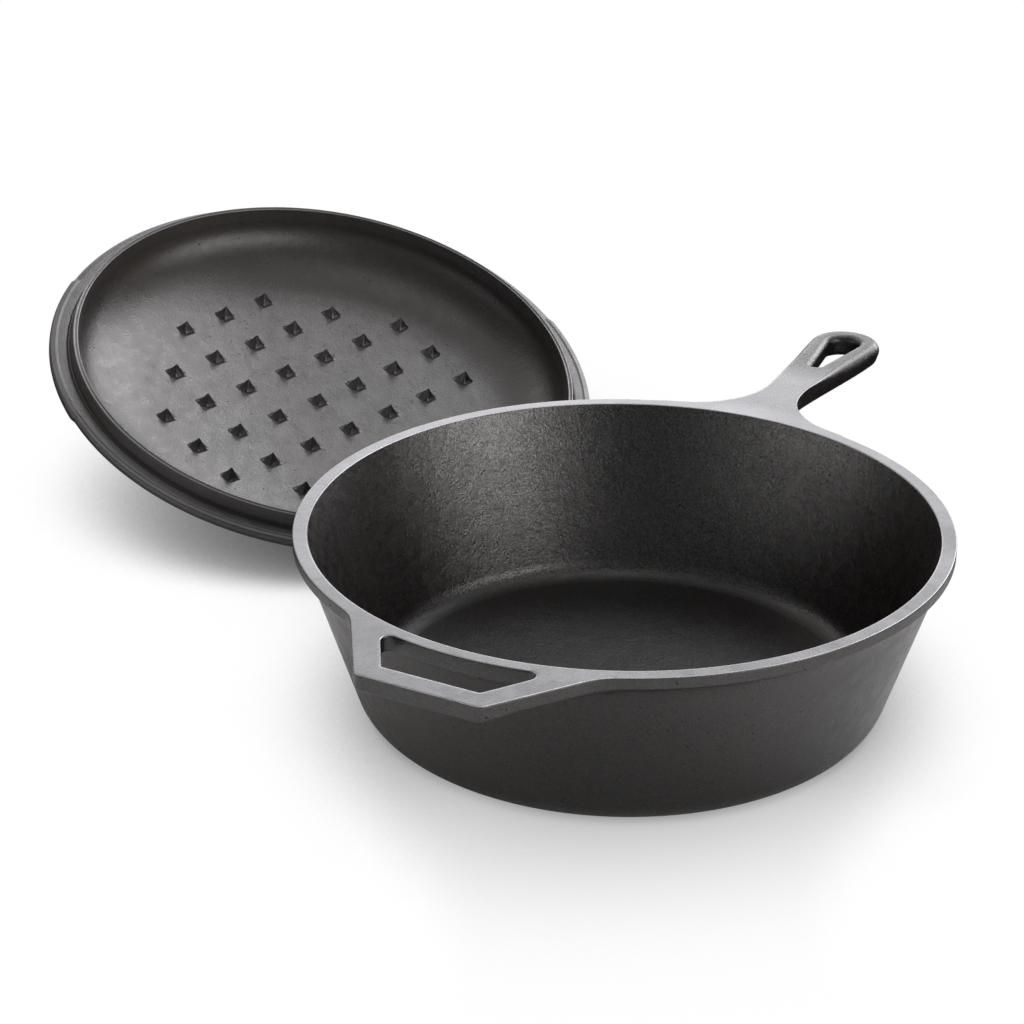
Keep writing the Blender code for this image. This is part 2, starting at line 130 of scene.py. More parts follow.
# ---- outlines ---------------------------------------------------------------
def arc(centre, radius, start, end, steps):
    return [(centre[0] + radius * math.cos(start + (end - start) * i / steps),
             centre[1] + radius * math.sin(start + (end - start) * i / steps))
            for i in range(steps + 1)]


def arc_between(centre, radius, start, end, steps):
    """Shorter arc between two directions, given as vectors from the centre."""
    angle = math.atan2(start.y, start.x)
    turn = (math.atan2(end.y, end.x) - angle + math.pi) % (2 * math.pi) - math.pi
    return arc(centre, radius, angle, angle + turn, steps)


def bezier(start, start_pull, end_pull, end, steps):
    points = []
    for i in range(steps + 1):
        t = i / steps
        u = 1 - t
        points.append(tuple(
            u ** 3 * a + 3 * u * u * t * b + 3 * u * t * t * c + t ** 3 * d
            for a, b, c, d in zip(start, start_pull, end_pull, end)))
    return points


def rounded(corners, steps):
    """Closed outline through corners of (x, y, radius)."""
    outline = []
    for i, (x, y, radius) in enumerate(corners):
        if radius <= 0:
            outline.append((x, y))
            continue
        corner = Vector((x, y))
        before = (Vector(corners[i - 1][:2]) - corner).normalized()
        after = (Vector(corners[(i + 1) % len(corners)][:2]) - corner).normalized()
        half = math.acos(max(-1.0, min(1.0, before.dot(after)))) / 2
        centre = corner + (before + after).normalized() * (radius / math.sin(half))
        start = corner + before * (radius / math.tan(half)) - centre
        end = corner + after * (radius / math.tan(half)) - centre
        outline += arc_between(centre, radius, start, end, steps)
    return outline


def mirrored(points):
    return [(x, -y) for x, y in points]


# ---- distance fields, negative inside ---------------------------------------
def outline_distance(x, y, outline):
    """Signed distance to a closed outline."""
    x, y = x.astype(np.float64), y.astype(np.float64)
    nearest = np.full(x.shape, 1e12)
    inside = np.zeros(x.shape, bool)
    for (x0, y0), (x1, y1) in zip(outline, outline[1:] + outline[:1]):
        run, rise = x1 - x0, y1 - y0
        squared = run * run + rise * rise
        if squared < 1e-12:
            continue
        from_x, from_y = x - x0, y - y0
        along = np.clip((from_x * run + from_y * rise) / squared, 0.0, 1.0)
        off_x, off_y = from_x - run * along, from_y - rise * along
        np.minimum(nearest, off_x * off_x + off_y * off_y, out=nearest)
        if abs(rise) > 1e-12:
            spans = (y0 > y) != (y1 > y)
            inside ^= spans & (x < x0 + (y - y0) * (run / rise))
    return (np.where(inside, -1.0, 1.0) * np.sqrt(nearest)).astype(np.float32)


def blend_union(a, b, width):
    """Union with a cast fillet about this wide."""
    share = np.maximum(width - np.abs(a - b), 0.0) / width
    return np.minimum(a, b) - share * share * share * width / 6.0


def round_cut(a, b, radius):
    """Intersection whose edge is rounded to the radius."""
    u, v = np.maximum(a + radius, 0.0), np.maximum(b + radius, 0.0)
    return np.minimum(np.maximum(a, b), -radius) + np.sqrt(u * u + v * v)


def step(value, low, high):
    """Smooth step from 0 at low to 1 at high."""
    t = np.clip((value - low) / (high - low), 0.0, 1.0)
    return t * t * (3 - 2 * t)


# ---- the pan's profiles, as (radius, height) --------------------------------
def drafted_foot(corner_r, z, fillet, draft):
    """Flat bottom and its fillet up to the start of a drafted wall."""
    sine, cosine = math.sin(draft), math.cos(draft)
    centre = (corner_r + (fillet * sine - fillet) / cosine, z + fillet)
    return [(PAST_AXIS, z)] + arc(centre, fillet, -math.pi / 2, -draft, 24)


def outer_profile():
    points = drafted_foot(BASE_R, 0.0, BASE_FILLET, WALL_DRAFT)
    flare_z, lip_z = TOP - FLARE, TOP - LIP
    flare_r = BASE_R + flare_z * math.tan(WALL_DRAFT)
    # hollow flare into the upright lip, then its rounded lower edge
    points += bezier((flare_r, flare_z), (flare_r + 2.2, flare_z + 6.6),
                     (R_OUT - 2.6, lip_z - 1.0), (R_OUT - 0.55, lip_z + 0.1), 14)
    points += arc((R_OUT - LIP_EDGE_R, lip_z + 0.75), LIP_EDGE_R, -math.pi / 2 + 0.3, 0.0, 5)
    return points + [(R_OUT, TOP + OVERSHOOT), (PAST_AXIS, TOP + OVERSHOOT)]


def cavity_profile():
    slope = math.tan(CAVITY_DRAFT)
    points = drafted_foot(R_IN - (TOP - FLOOR_Z) * slope, FLOOR_Z, FLOOR_FILLET, CAVITY_DRAFT)
    return points + [(R_IN + OVERSHOOT * slope, TOP + OVERSHOOT), (PAST_AXIS, TOP + OVERSHOOT)]


# ---- the pan's plans, as (x, y) ---------------------------------------------
def end_flank():
    """+y side of the long handle from its neck, widening, round to its end."""
    slope = math.radians(5.0)
    meet = (END_X - END_R * math.sin(slope), END_R * math.cos(slope))
    flank = bezier((NECK_X, NECK_HALF), (NECK_X + 18.0, NECK_HALF + 1.3),
                   (meet[0] - 22.0, meet[1] - 1.4), meet, 18)
    return flank[:-1] + arc((END_X, 0.0), END_R, math.pi / 2 + slope, 0.0, 26)


def handle_plan():
    """Top face of the long handle, with the wings at its root."""
    sine, cosine = math.sin(ROOT_ANGLE), math.cos(ROOT_ANGLE)
    root_r = R_OUT - 1.0
    root = (root_r * cosine, root_r * sine)
    flank = bezier(root, (root[0] + 22 * sine, root[1] - 22 * cosine),
                   (147.0, NECK_HALF + 0.2), (NECK_X, NECK_HALF), 26)[:-1]
    flank = [(ROOT_X, root[1])] + flank + end_flank()
    return flank + mirrored(flank[-2::-1])


def rib_plan():
    """The deep middle of the long handle, which runs on under the wings."""
    flank = [(ROOT_X, 11.0), (132.0, 8.4), (148.0, 7.5)] + end_flank()
    return flank + mirrored(flank[-2::-1])


def teardrop_plan():
    lean = math.asin((HOLE_R - TIP_R) / (HOLE_X - TIP_X))
    quarter = math.pi / 2 + lean
    return (arc((HOLE_X, 0.0), HOLE_R, -quarter, quarter, 26)
            + arc((TIP_X, 0.0), TIP_R, quarter, 1.5 * math.pi - lean, 10))


def grip_plan():
    return rounded([(GRIP_ROOT_X, GRIP_ROOT_HALF, 0.0), (BAR_X, BAR_HALF, BAR_CORNER_R),
                    (BAR_X, -BAR_HALF, BAR_CORNER_R), (GRIP_ROOT_X, -GRIP_ROOT_HALF, 0.0)], 8)


def grip_hole_plan():
    """Opening between rim and bar: wide corners at the rim, tight at the bar."""
    rim, angle = GRIP_HOLE_RIM, GRIP_HOLE_ANGLE
    end = (-rim * math.cos(angle), rim * math.sin(angle))
    to_bar = Vector((GRIP_HOLE_X - end[0], GRIP_HOLE_HALF - end[1])).normalized()
    along_rim = Vector((-math.sin(angle), -math.cos(angle)))
    back = GRIP_HOLE_LAND_R / math.tan(to_bar.angle(along_rim) / 2)
    land = angle - back / rim
    side = arc((0.0, 0.0), rim, math.pi - land, math.pi + land, 20)
    touch = Vector((-rim * math.cos(land), rim * math.sin(land)))
    centre = touch + Vector((-math.cos(land), math.sin(land))) * GRIP_HOLE_LAND_R
    upper = arc_between(centre, GRIP_HOLE_LAND_R, touch - centre,
                        Vector(end) + to_bar * back - centre, 10)
    lower = mirrored(upper)
    bar = rounded([(*upper[-1], 0.0), (GRIP_HOLE_X, GRIP_HOLE_HALF, GRIP_HOLE_CORNER_R),
                   (GRIP_HOLE_X, -GRIP_HOLE_HALF, GRIP_HOLE_CORNER_R), (*lower[-1], 0.0)], 5)
    return side[1:-1] + lower + bar[1:-1][::-1] + upper[::-1]


HANDLE, RIB, TEARDROP = handle_plan(), rib_plan(), teardrop_plan()
GRIP, GRIP_HOLE = grip_plan(), grip_hole_plan()


def pan_field(theta, radii, heights, zone, body, cavity):
    """Field on one block of the polar grid.  body and cavity are the round
    body's own fields on the (radius, height) plane."""
    x = np.cos(theta)[:, None] * radii
    y = np.sin(theta)[:, None] * radii
    z = heights[None, None, :].astype(np.float32)
    along = x[:, :, None].astype(np.float32)

    def plan(outline):
        return outline_distance(x, y, outline)[:, :, None]

    field = np.broadcast_to(body, (len(theta),) + body.shape)
    top_edge_r = RIM_EDGE_R
    if zone == "handle":
        # wings are thin at their edge and the rib is full depth
        wing = round_cut(plan(HANDLE), (TOP - WING_DEPTH) - z, WING_EDGE_R)
        lift = RIB_ROOT_LIFT * (1 - step(along, 128.0, 170.0))
        rib = round_cut(plan(RIB), (TOP - RIB_DEPTH + lift) - z, RIB_EDGE_R)
        field = blend_union(field, blend_union(wing, rib, RIB_FILLET), HANDLE_FILLET)
        top_edge_r = RIM_EDGE_R + END_SOFTENING * step(along, 168.0, 214.0)
    elif zone == "grip":
        depth = GRIP_DEPTH + BAR_EXTRA_DEPTH * step(-along, 146.0, 156.0)
        slab = round_cut(plan(GRIP), (TOP - depth) - z, GRIP_EDGE_R)
        field = blend_union(field, slab, GRIP_FILLET)
    field = round_cut(field, z - TOP, top_edge_r)
    field = round_cut(field, -cavity, CAVITY_EDGE_R)
    if zone == "handle":
        # the hole is drafted both ways from its middle
        below = (TOP - RIB_DEPTH / 2) - z
        hole = (plan(TEARDROP) - HOLE_DRAFT_LOW * np.maximum(below, 0.0)
                - HOLE_DRAFT_HIGH * np.maximum(-below, 0.0))
        field = round_cut(field, -hole, HOLE_EDGE_R)
    elif zone == "grip":
        field = round_cut(field, -plan(GRIP_HOLE), GRIP_HOLE_EDGE_R)
    return field


# ---- surface nets -----------------------------------------------------------
# the four cells round a grid edge along each axis, as steps from the edge's start
EDGE_CELLS = (
    ((0, -1, -1), (0, 0, -1), (0, 0, 0), (0, -1, 0)),
    ((-1, 0, -1), (-1, 0, 0), (0, 0, 0), (0, 0, -1)),
    ((-1, -1, 0), (0, -1, 0), (0, 0, 0), (-1, 0, 0)),
)


def net_cells(field):
    """Cells the surface passes through, as three index arrays, and the
    surface's mean place in each as shares of the cell."""
    inside = field < 0
    shape = [n - 1 for n in field.shape]
    count = np.zeros(shape, np.uint8)
    for corner in product((0, 1), repeat=3):
        count += inside[tuple(slice(c, c + n) for c, n in zip(corner, shape))]
    cells = np.nonzero((count > 0) & (count < 8))
    total = np.zeros((len(cells[0]), 3))
    crossings = np.zeros(len(cells[0]))
    for axis in range(3):
        for p, q in product((0, 1), repeat=2):
            start = [0, 0, 0]
            start[(axis + 1) % 3], start[(axis + 2) % 3] = p, q
            end = list(start)
            end[axis] = 1
            at_start = field[tuple(c + o for c, o in zip(cells, start))]
            at_end = field[tuple(c + o for c, o in zip(cells, end))]
            crosses = (at_start < 0) != (at_end < 0)
            drop = np.where(crosses, at_start - at_end, 1.0)
            total += crosses[:, None] * np.array(start)
            total[:, axis] += np.where(crosses, at_start / drop, 0.0)
            crossings += crosses
    return cells, total / crossings[:, None]


def net_quads(field, cell_id):
    """One quad round every grid edge that crosses the surface.  The last
    sample along the first axis is left to the next block."""
    inside = field < 0
    quads = []
    for axis, around in enumerate(EDGE_CELLS):
        first = [0, 1, 1]
        first[axis] = 0
        start = [slice(None, -1), slice(1, -1), slice(1, -1)]
        end = list(start)
        start[axis], end[axis] = slice(None, -1), slice(1, None)
        crossed = np.nonzero(inside[tuple(start)] != inside[tuple(end)])
        edge = [index + shift for index, shift in zip(crossed, first)]
        quad = np.stack([cell_id(*(e + s for e, s in zip(edge, shift)))
                         for shift in around], 1)
        flip = inside[tuple(edge)]
        quads.append(np.where(flip[:, None], quad[:, ::-1], quad))
    return np.concatenate(quads)


def polar_net(theta, radii, heights, blocks, field_of):
    """Surface net on a grid closed in theta.  blocks are (first cell, end
    cell, zone, number of radii).  Returns vertices, quads and the rings of
    vertices at the innermost radius, bottom and top."""
    turns, n_radii, n_heights = len(theta), len(radii), len(heights)
    ids, places, quads = [], [], []
    for begin, end, zone, count in blocks:
        samples = np.arange(begin, end + 1)
        angles = theta[samples % turns] + 2 * math.pi * (samples // turns)

        def cell_id(i, j, k):
            return (((i + begin) % turns) * n_radii + j) * n_heights + k

        field = field_of(angles, radii[:count], heights, zone)
        cells, share = net_cells(field)
        angle, radius, z = (
            line[c] + part * (line[c + 1] - line[c])
            for line, c, part in zip((angles, radii, heights), cells, share.T))
        places.append(np.stack([radius * np.cos(angle), radius * np.sin(angle), z], 1))
        ids.append(cell_id(*cells))
        quads.append(net_quads(field, cell_id))
    ids, places = np.concatenate(ids), np.concatenate(places)
    order = np.argsort(ids)
    ids, places = ids[order], places[order]
    quads = np.searchsorted(ids, np.concatenate(quads))
    innermost = (ids // n_heights) % n_radii == 0
    is_low = heights[ids % n_heights] < 2.0
    return (places, quads, np.nonzero(innermost & is_low)[0],
            np.nonzero(innermost & ~is_low)[0])


def new_object(name, places, faces):
    """Smooth mesh object.  places are in millimetres; faces is a list of
    index arrays, each of one face size."""
    mesh = bpy.data.meshes.new(name)
    places = np.asarray(places * MM, np.float32)
    loops = np.concatenate([np.asarray(f, np.int32).ravel() for f in faces])
    sizes = np.concatenate([np.full(len(f), f.shape[1], np.int32) for f in faces])
    starts = np.concatenate([[0], np.cumsum(sizes)[:-1]]).astype(np.int32)
    mesh.vertices.add(len(places))
    mesh.vertices.foreach_set("co", places.ravel())
    mesh.loops.add(len(loops))
    mesh.loops.foreach_set("vertex_index", loops)
    mesh.polygons.add(len(sizes))
    mesh.polygons.foreach_set("loop_start", starts)
    mesh.polygons.foreach_set("loop_total", sizes)
    mesh.polygons.foreach_set("use_smooth", np.full(len(sizes), True))
    mesh.update(calc_edges=True)
    mesh.validate()
    ob = bpy.data.objects.new(name, mesh)
    bpy.context.scene.collection.objects.link(ob)
    return ob


def spaced(*runs):
    """Grid positions from (start, end, pitch) runs that follow on."""
    places = []
    for start, end, pitch in runs:
        count = max(1, int(round((end - start) / pitch)))
        places += [start + (end - start) * i / count for i in range(count)]
    places.append(runs[-1][1])
    return np.array(places)


def build_pan():
    fine = 1.0
    # degrees: round the handle, plain, round the grip, plain
    sectors = [(-22.0, 22.0, 0.125 * fine), (22.0, 150.0, 0.8),
               (150.0, 210.0, 0.22 * fine), (210.0, 338.0, 0.8)]
    theta = np.radians(spaced(*sectors)[:-1])
    radii = spaced((84.0, 120.0, 0.9), (120.0, 124.2, 0.5), (124.2, 134.0, 0.25 * fine),
                   (134.0, 165.0, 0.5 * fine), (165.0, 250.0, 0.55 * fine))
    heights = spaced((-0.9, 0.9, 0.3), (0.9, 22.0, 0.7), (22.0, 58.0, 1.2),
                     (58.0, 70.0, 0.45 * fine), (70.0, 77.3, 0.25 * fine))
    counts = [int(round((end - start) / pitch)) for start, end, pitch in sectors]
    ends = np.cumsum([0] + counts)
    past_rim = int(np.searchsorted(radii, 136.0))
    past_grip = int(np.searchsorted(radii, 165.0))
    blocks = zip(ends[:-1], ends[1:], ("handle", "plain", "grip", "plain"),
                 (len(radii), past_rim, past_grip, past_rim))
    radius, height = np.meshgrid(radii, heights, indexing="ij")
    body = outline_distance(radius, height, outer_profile())
    cavity = outline_distance(radius, height, cavity_profile())

    def field_of(angles, radii, heights, zone):
        count = len(radii)
        return pan_field(angles, radii, heights, zone, body[:count], cavity[:count])

    places, quads, low, high = polar_net(theta, radii, heights, blocks, field_of)
    # close the base and the cooking floor: a few inner rings, then a hub
    parts, faces, count = [places], [quads], len(places)
    for ring, turn in ((low, -1), (high, 1)):
        ring = ring[np.argsort(np.arctan2(places[ring, 1], places[ring, 0]))]
        outer = ring
        for share in (0.7, 0.4, 0.15):
            inner = count + np.arange(len(ring))
            parts.append(places[ring] * [share, share, 1.0])
            count += len(ring)
            quad = np.stack([outer, np.roll(outer, -1), np.roll(inner, -1), inner], 1)
            faces.append(quad[:, ::turn])
            outer = inner
        parts.append(places[ring].mean(0, keepdims=True) * [0.0, 0.0, 1.0])
        fan = np.stack([outer, np.roll(outer, -1), np.full(len(outer), count)], 1)
        faces.append(fan[:, ::turn])
        count += 1
    return new_object("skillet_casting", np.concatenate(parts), faces)


# ---- the lid ----------------------------------------------------------------
# (radius, height) up the flange's outside, round the groove at its root, to the seat
FLANGE_TO_SEAT = [
    (121.55, -4.4), (121.8, -3.0), (122.05, -1.6), (122.2, -0.9),
    (122.28, -0.35), (122.3, 0.2), (122.5, 0.48), (122.85, 0.52),
    (123.15, 0.36), (123.4, 0.14), (123.75, 0.03),
    (124.6, 0.0), (126.0, 0.0),
]
# (radius, height, share of the ears' reach) under the brim
UNDER_BRIM = [(127.4, 0.02, 0.1), (128.1, 0.03, 0.5), (128.35, 0.10, 0.8),
              (128.5, 0.34, 1.0), (128.75, 0.40, 1.0)]
# and from the brim's top up to the dome
OVER_BRIM = [(127.6, 4.75, 0.2), (126.0, 4.9, 0.0), (124.4, 5.15, 0.0),
             (122.8, 5.6, 0.0), (121.2, 6.4, 0.0), (119.9, 7.6, 0.0)]


def lid_inside(r):
    """Height of the lid's inner face: a very shallow dish, then the cove."""
    t = min(1.0, max(0.0, (r - FLAT_IN) / (COVE_R - FLAT_IN)))
    fall = DISH * min(1.0, r / DISH_R) ** 2
    return (LID_FLOOR - fall) * math.sqrt(max(0.0, 1.0 - t ** 2.5))


def lid_profile():
    """(radius, height, ear share) from the inner centre out, round the brim,
    and back over the dome to the outer centre."""
    radii = [FLAT_IN * i / 40 for i in range(41)]
    radii += [FLAT_IN + (COVE_R - FLAT_IN) * math.sin(math.pi / 2 * i / 60) ** 0.9
              for i in range(1, 61)]
    line = [(r, lid_inside(r)) for r in radii]
    # inside of the flange, then its tip, hollow between two rounded edges
    tip_z = -FLANGE_DEPTH
    line += [(117.9, -1.5), (118.2, -3.0), (118.5, -4.6)]
    line += arc((FLANGE_IN + 0.35, tip_z + 0.4), 0.4, math.pi, 1.5 * math.pi, 5)
    line += [(119.55, tip_z + 0.12), (119.85, tip_z + 0.5),
             (120.25, tip_z + 0.5), (120.55, tip_z + 0.1)]
    line += arc((FLANGE_OUT - 0.55, tip_z + 0.6), 0.6, -math.pi / 2, -0.15, 6)
    line += FLANGE_TO_SEAT
    edge_x = LID_R - BRIM_EDGE_R
    edge = arc((edge_x, 1.9), BRIM_EDGE_R, -math.pi / 2 + 0.25, 0.0, 8)
    edge += [(LID_R, 2.4)]
    edge += arc((edge_x, 3.1), BRIM_EDGE_R, 0.0, math.pi / 2 - 0.1, 7)
    dome = []
    for i in range(49):
        angle = math.radians(72.0) * (1.0 - i / 48.0)
        dome.append((FLAT_OUT + DOME_REACH * math.sin(angle), LID_TOP * math.cos(angle)))
    dome += [(FLAT_OUT * share, LID_TOP) for share in (0.85, 0.7, 0.5, 0.3, 0.12, 0.0)]
    return ([(r, z, 0.0) for r, z in line] + UNDER_BRIM + [(r, z, 1.0) for r, z in edge]
            + OVER_BRIM + [(r, z, 0.0) for r, z in dome])


def build_lid():
    segments = 900
    theta = np.arange(segments) * (2 * math.pi / segments)
    off_ear = np.abs((theta - EAR_ANGLE + math.pi / 2) % math.pi - math.pi / 2)
    ears = np.clip((EAR_HALF - off_ear) / EAR_RAMP, 0.0, 1.0)
    rings, parts, count = [], [], 0
    for r, z, share in lid_profile():
        if r < 1e-6:
            rings.append(np.full(segments, count))
            parts.append(np.array([[0.0, 0.0, z]]))
            count += 1
            continue
        radius = r + EAR_REACH * share * ears
        height = np.full(segments, z)
        if share > 0.5:
            # the ears' edges are sharper than the rest of the brim's
            side = max(-1.0, min(1.0, (BRIM_MIDDLE_Z - z) / 2.0))
            height = height - ears * EAR_SHARPEN * side
        rings.append(count + np.arange(segments))
        parts.append(np.stack([radius * np.cos(theta), radius * np.sin(theta), height], 1))
        count += segments
    quads, tris = [], []
    for ring, after in zip(rings, rings[1:]):
        ring_next, after_next = np.roll(ring, -1), np.roll(after, -1)
        if ring[0] == ring[1]:
            tris.append(np.stack([ring, after_next, after], 1))
        elif after[0] == after[1]:
            tris.append(np.stack([ring, ring_next, after], 1))
        else:
            quads.append(np.stack([ring, ring_next, after_next, after], 1))
    return new_object("lid_casting", np.concatenate(parts),
                      [np.concatenate(quads), np.concatenate(tris)])


def point_spots():
    """Basting points as (x, y, size variation, skew), in rows of 3, 5, 7, 7,
    7, 5 and 3, each a little off true, as cast."""
    # factors of a sine hash, one row for each value between -0.5 and 0.5
    hashes = ((12.9898, 78.233, 43758.5453), (39.346, 11.135, 24634.6345),
              (73.156, 52.235, 18421.631))
    spots = []
    for i, j in product(range(-3, 4), repeat=2):
        if abs(i) + abs(j) <= 4:
            skew, shift, vary = (math.sin(i * a + j * b) * c % 1.0 - 0.5 for a, b, c in hashes)
            spots.append((i * POINT_PITCH + POINT_SHIFT * skew,
                          j * POINT_PITCH + POINT_SHIFT * shift, vary, skew))
    return spots


def point_height(u, v, vary, skew):
    """Height of one point over its own centre: four sides, soft ridges, a
    blunt tip and a small fillet at its foot."""
    blunt, foot_blend = 0.16, 0.24
    across = np.sqrt(u * u + blunt * blunt) + 0.05 * skew * v
    along = np.sqrt(v * v + blunt * blunt) - 0.05 * skew * u
    ridged = (across ** 5 + along ** 5) ** 0.2
    slope = 1.0 - ridged / (POINT_HALF * (1.0 + 0.06 * vary))
    # smooth union of the slope with the floor
    risen = 0.5 * (slope + np.sqrt(slope * slope + foot_blend * foot_blend)) - 0.02
    return POINT_HEIGHT * (1.0 + 0.08 * vary) * risen


def build_points():
    """Every basting point as a closed patch set into the lid's floor."""
    n = 35
    reach = POINT_HALF * 1.75
    line = np.linspace(-1.0, 1.0, n)
    line = reach * (0.45 * line + 0.55 * line ** 3)      # closer near the middle
    u, v = np.meshgrid(line, line, indexing="ij")
    grid = np.arange(n * n).reshape(n, n)
    patch = np.stack([grid[:-1, :-1], grid[:-1, 1:], grid[1:, 1:], grid[1:, :-1]], -1)
    border = np.concatenate([grid[0, :-1], grid[:-1, -1], grid[-1, :0:-1], grid[:0:-1, 0]])
    low = n * n + np.arange(len(border))
    hub = n * n + len(border)
    skirt = np.stack([np.roll(border, -1), border, low, np.roll(low, -1)], 1)
    fan = np.stack([np.roll(low, -1), low, np.full(len(low), hub)], 1)
    sink = 0.25 * step(np.maximum(np.abs(u), np.abs(v)) / reach, 0.62, 1.0)
    parts, quads, tris = [], [], []
    for i, (x, y, vary, skew) in enumerate(point_spots()):
        dished = LID_FLOOR - DISH * ((u + x) ** 2 + (v + y) ** 2) / DISH_R ** 2
        z = dished - (point_height(u, v, vary, skew) - sink)
        top = np.stack([u.ravel() + x, v.ravel() + y, z.ravel()], 1)
        parts += [top, top[border] + [0.0, 0.0, 1.1], np.array([[x, y, LID_FLOOR + 1.2]])]
        first = i * (hub + 1)
        quads += [patch.reshape(-1, 4) + first, skirt + first]
        tris.append(fan + first)
    return new_object("lid_basting_points", np.concatenate(parts),
                      [np.concatenate(quads), np.concatenate(tris)])


def loop_outline(foot_half, foot_z, top_half, top_z, radius, steps):
    return rounded([(foot_half, foot_z, 0.0), (top_half, top_z, radius),
                    (-top_half, top_z, radius), (-foot_half, foot_z, 0.0)], steps)


def build_loop():
    """The loop handle cast on the dome, with flared feet, on a square grid."""
    pitch = 0.75
    xs = np.arange(-62.0, 62.1, pitch)
    ys = np.arange(-21.0, 21.1, pitch)
    zs = np.arange(LID_TOP - 2.2, LOOP_TOP + 1.6, pitch)
    x, y, z = xs[:, None, None], ys[None, :, None], zs[None, None, :]
    grid_x, grid_z = np.meshgrid(xs, zs, indexing="ij")
    outer = loop_outline(50.0, LID_TOP - 8, 41.0, LOOP_TOP, 14.0, 14)
    inner = loop_outline(37.0, LID_TOP - 9, 31.0, LOOP_TOP - 8.0, 8.0, 12)
    band = np.maximum(outline_distance(grid_x, grid_z, outer),
                      -outline_distance(grid_x, grid_z, inner))
    # the bar is widest at its middle and its section is a flattened round
    half_width = LOOP_HALF_WIDTH + LOOP_MIDDLE_EXTRA * step(-np.abs(x), -30.0, -8.0)
    # single precision like the outline distances, but cut in double
    side = (np.abs(y) - half_width).astype(np.float32)
    field = round_cut(band[:, None, :].astype(np.float64), side.astype(np.float64), LOOP_EDGE_R)
    dome = (z - LID_TOP).astype(np.float32)
    field = blend_union(field, dome, LOOP_FOOT_FILLET) + LOOP_TRIM
    field = np.maximum(field, (LID_TOP - LOOP_SUNK) - z)
    box = np.maximum(np.abs(x) - LOOP_BOX_X, np.abs(y) - LOOP_BOX_Y)
    field = np.maximum(field, box.astype(np.float32))
    cells, share = net_cells(field)
    vertex_of = np.full([n - 1 for n in field.shape], -1)
    vertex_of[cells] = np.arange(len(share))
    places = np.stack([line[c] + part * pitch
                       for line, c, part in zip((xs, ys, zs), cells, share.T)], 1)
    quads = net_quads(field, lambda i, j, k: vertex_of[i, j, k])
    return new_object("lid_loop_handle", places, [quads])


def lid_placement():
    """The lid's place: level over the pan, then turned back about the swing
    joint from its far limit."""
    joint = frame["joints"][0]
    pivot = Vector(joint["pos_m"])
    axis = Vector(joint["axis"]).normalized()
    angle = math.radians(joint["range_deg"][1])
    level = (Matrix.Translation((0.0, 0.0, (TOP + LID_HOVER) * MM))
             @ Matrix.Rotation(LID_SPIN, 4, 'Z'))
    return (Matrix.Translation(pivot) @ Matrix.Rotation(-angle, 4, axis)
            @ Matrix.Translation(-pivot) @ level)


# ---- materials --------------------------------------------------------------
class Nodes:
    """Short hand for the node tree of a material or a world."""

    def __init__(self, owner):
        owner.use_nodes = True
        self.tree = owner.node_tree
        self.tree.nodes.clear()
        self.x = 0

    def add(self, kind, inputs, **props):
        node = self.tree.nodes.new(kind)
        self.x += 40
        node.location = (self.x, 0)
        for key, value in props.items():
            setattr(node, key, value)
        for key, value in inputs.items():
            if isinstance(value, bpy.types.NodeSocket):
                self.tree.links.new(value, node.inputs[key])
            else:
                node.inputs[key].default_value = value
        return node

    def math(self, op, a, b=0.5, clamp=False):
        return self.add("ShaderNodeMath", {0: a, 1: b}, operation=op, use_clamp=clamp).outputs[0]

    def plus(self, a, b):
        return self.math('ADD', a, b)

    def minus(self, a, b):
        return self.math('SUBTRACT', a, b)

    def times(self, a, b):
        return self.math('MULTIPLY', a, b)

    def ramp(self, value, span, to=(0.0, 1.0)):
        """Smooth ramp of the value over span, from to[0] to to[1]."""
        return self.add("ShaderNodeMapRange",
                        {"Value": value, "From Min": span[0], "From Max": span[1],
                         "To Min": to[0], "To Max": to[1]},
                        interpolation_type='SMOOTHSTEP').outputs["Result"]

    def noise(self, place, scale, detail, rough):
        return self.add("ShaderNodeTexNoise", {"Vector": place, "Scale": scale,
                                               "Detail": detail, "Roughness": rough}
                        ).outputs["Fac"]

    def mix(self, share, a, b):
        return self.add("ShaderNodeMix", {0: share, 6: a, 7: b}, data_type='RGBA').outputs[2]

    def bump(self, **inputs):
        inputs = {key.title(): value for key, value in inputs.items()}
        return self.add("ShaderNodeBump", inputs).outputs["Normal"]

    def attribute(self, name):
        return self.add("ShaderNodeAttribute", {}, attribute_name=name).outputs["Fac"]

    def dot(self, vector, direction):
        return self.add("ShaderNodeVectorMath", {0: vector, 1: direction},
                        operation='DOT_PRODUCT').outputs["Value"]

    def camera_ray(self):
        return self.add("ShaderNodeLightPath", {}).outputs["Is Camera Ray"]


PIT_COLOUR = (0.004, 0.0035, 0.0035, 1)
# bare ground iron, in its dark and light areas and in its grain
GROUND_DARK = (0.265, 0.265, 0.275, 1)
GROUND_LIGHT = (0.315, 0.315, 0.326, 1)
GROUND_GRAIN = (0.22, 0.22, 0.235, 1)


